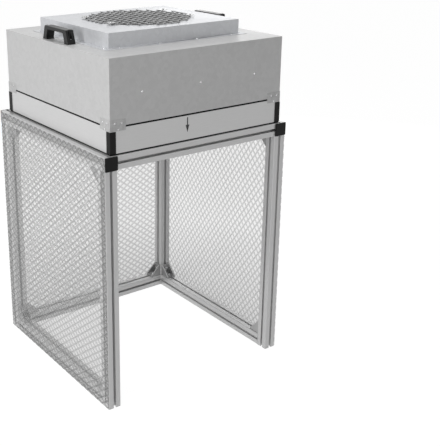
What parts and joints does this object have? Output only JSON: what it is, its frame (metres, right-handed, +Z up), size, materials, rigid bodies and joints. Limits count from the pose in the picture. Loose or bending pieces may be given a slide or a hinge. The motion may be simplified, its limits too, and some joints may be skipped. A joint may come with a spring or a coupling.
{
  "type": "laminar flow hood",
  "caption": "Vertical laminar flow hood: a fan filter unit on a slotted aluminium frame with clear sheets on three sides and an open front.",
  "frame": {"origin": "middle of the frame's footprint, on the surface it stands on", "axes": "+Z up; the open working side faces -Y; +X to the right of someone facing the open side"},
  "size_m": [0.6596, 0.65, 1.0995],
  "materials": {
    "anodised_aluminium": "satin anodised extrusion",
    "cast_aluminium": "cast, tumbled",
    "zinc_steel": "bright zinc plated",
    "black_plastic": "moulded, fine grain",
    "clear_sheet": "clear soft PVC with a dull conductive thread grid",
    "clear_tape": "translucent foam tape",
    "grey_gasket": "closed-cell foam rubber",
    "filter_aluminium": "mill finish extrusion",
    "filter_sealant": "cast urethane",
    "filter_paper": "pleated glass-fibre paper",
    "white_grille": "white powder coat",
    "galvanised_sheet": "galvanised with a fine spangle",
    "bright_wire": "bright plated wire",
    "fan_aluminium": "pressed and riveted sheet",
    "motor_black": "black dip coat",
    "motor_casting": "die-cast",
    "bearing_steel": "ground",
    "grey_foam": "open-cell acoustic foam",
    "silver_disc": "spun aluminium foil",
    "white_can": "capacitor can",
    "lead_jacket": "black flexible jacket",
    "controller_case": "moulded case"
  },
  "bodies": {
    "hood": {"post_front_left": "anodised_aluminium", "post_front_right": "anodised_aluminium", "post_rear_left": "anodised_aluminium", "post_rear_right": "anodised_aluminium", "top_rail_left": "anodised_aluminium", "top_rail_right": "anodised_aluminium", "top_rail_front": "anodised_aluminium", "top_rail_rear": "anodised_aluminium", "bottom_rail_left": "anodised_aluminium", "bottom_rail_right": "anodised_aluminium", "bottom_rail_rear": "anodised_aluminium", "lower_brackets": "cast_aluminium", "upper_brackets": "cast_aluminium", "rail_brackets": "cast_aluminium", "bracket_bolts": "zinc_steel", "slot_nuts": "zinc_steel", "clip_screws": "zinc_steel", "inlet_box_screws": "zinc_steel", "guard_screws": "zinc_steel", "motor_screws": "zinc_steel", "deck_rivets": "zinc_steel", "handle_screws": "zinc_steel", "hex_nuts": "zinc_steel", "end_caps": "black_plastic", "corner_guards": "black_plastic", "handle_left": "black_plastic", "handle_right": "black_plastic", "power_inlet": "black_plastic", "fuse_drawer": "black_plastic", "panel_tape": "clear_tape", "panel_left": "clear_sheet", "panel_right": "clear_sheet", "panel_rear": "clear_sheet", "base_gasket": "grey_gasket", "seam_gasket": "grey_gasket", "filter_frame": "filter_aluminium", "filter_sealant": "filter_sealant", "filter_media": "filter_paper", "filter_face_guard": "white_grille", "filter_clips": "galvanised_sheet", "fan_housing": "galvanised_sheet", "inlet_box": "galvanised_sheet", "inlet_bell": "galvanised_sheet", "inlet_guard": "bright_wire", "motor_stator": "motor_casting", "motor_bearings": "bearing_steel", "motor_deck": "galvanised_sheet", "diffuser_plate": "galvanised_sheet", "diffuser_spacers": "zinc_steel", "foam_lining": "grey_foam", "speed_control": "controller_case", "run_capacitor": "white_can", "motor_lead": "lead_jacket", "mains_lead": "lead_jacket"},
    "rotor": {"fan_wheel": "fan_aluminium", "motor_rotor": "motor_black", "rotor_screws": "zinc_steel"},
    "knob": {"speed_knob": "black_plastic", "knob_cap": "silver_disc", "knob_spindle": "zinc_steel"}
  },
  "joints": [
    {"name": "fan_spin", "type": "hinge", "parent": "hood", "child": "rotor", "pos_m": [0, 0, 0.99], "axis": [0, 0, 1], "continuous": true},
    {"name": "speed_turn", "type": "hinge", "parent": "hood", "child": "knob", "pos_m": [0.175, 0.254, 1.05], "axis": [0, 0, -1], "range_deg": [-135, 135]}
  ]
}
